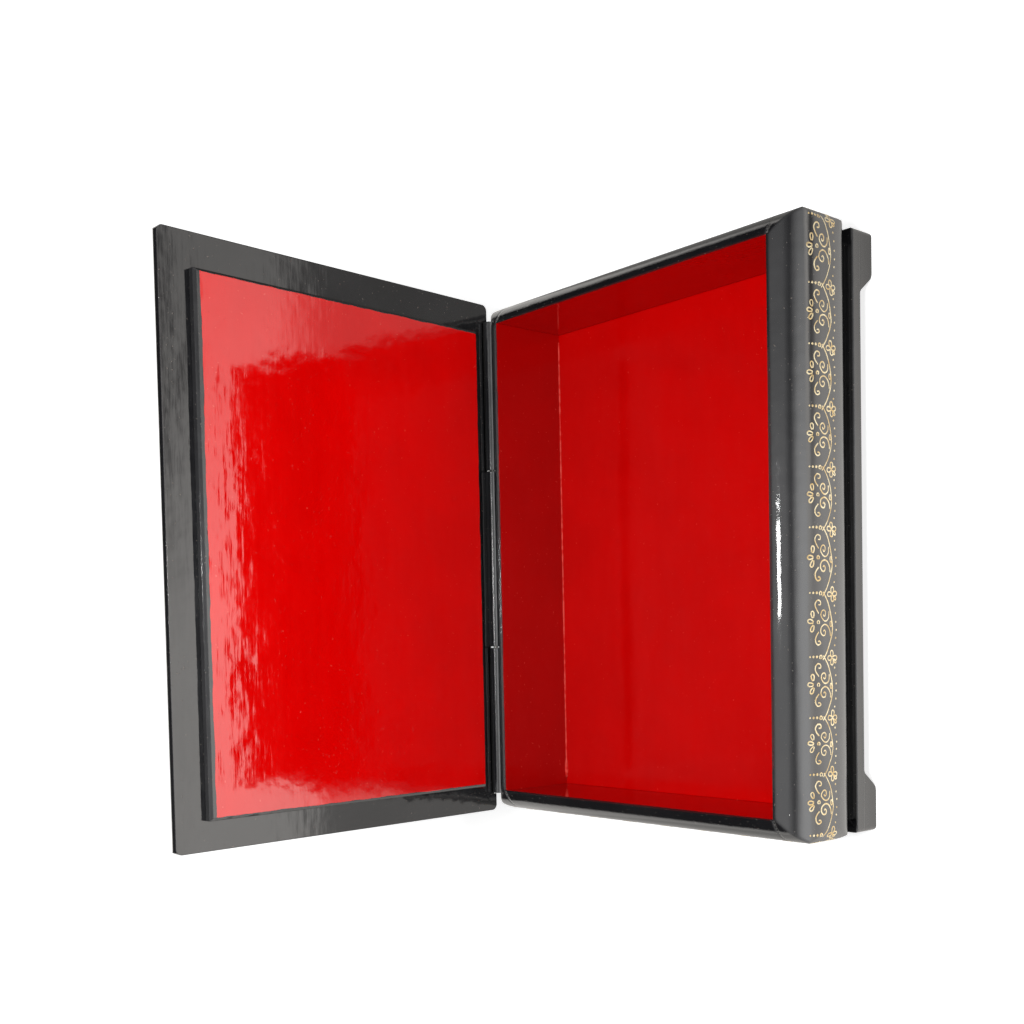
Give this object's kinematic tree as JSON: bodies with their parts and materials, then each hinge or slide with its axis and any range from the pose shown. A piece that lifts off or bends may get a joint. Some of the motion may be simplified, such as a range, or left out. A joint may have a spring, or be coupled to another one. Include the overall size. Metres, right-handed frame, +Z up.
{
  "type": "hinged lidded box",
  "caption": "Rectangular lacquered papier mache box with rounded walls, a flat hinged lid with a raised inner panel, and a low plinth on bracket feet.",
  "frame": {"origin": "on the ground under the feet, midway between the outermost front and back of the box with its lid open as stored, and midway between its ends", "axes": "+X along the hinge to the right of someone facing the front, +Y from the front to the hinge side, +Z up from the feet to the mouth"},
  "size_m": [0.178, 0.1384, 0.1694],
  "materials": {
    "black_lacquer": "gloss black lacquer over papier mache on wood",
    "red_lacquer": "gloss red lacquer",
    "hinge_wire": "drawn wire"
  },
  "bodies": {
    "box": {"front_wall": "black_lacquer", "back_wall": "black_lacquer", "left_wall": "black_lacquer", "right_wall": "black_lacquer", "floor_panel": "red_lacquer", "plinth_board": "black_lacquer", "foot_front_left": "black_lacquer", "foot_front_right": "black_lacquer", "foot_rear_left": "black_lacquer", "foot_rear_right": "black_lacquer", "hinge_knuckle_left": "black_lacquer", "hinge_knuckle_right": "black_lacquer", "hinge_pin": "hinge_wire"},
    "lid": {"lid_board": "black_lacquer", "lid_panel": "red_lacquer", "hinge_knuckle_lid": "black_lacquer"}
  },
  "joints": [
    {"name": "lid_hinge", "type": "hinge", "parent": "box", "child": "lid", "pos_m": [0, 0.06196, 0.041], "axis": [-1, 0, 0], "range_deg": [-85, 15]}
  ]
}
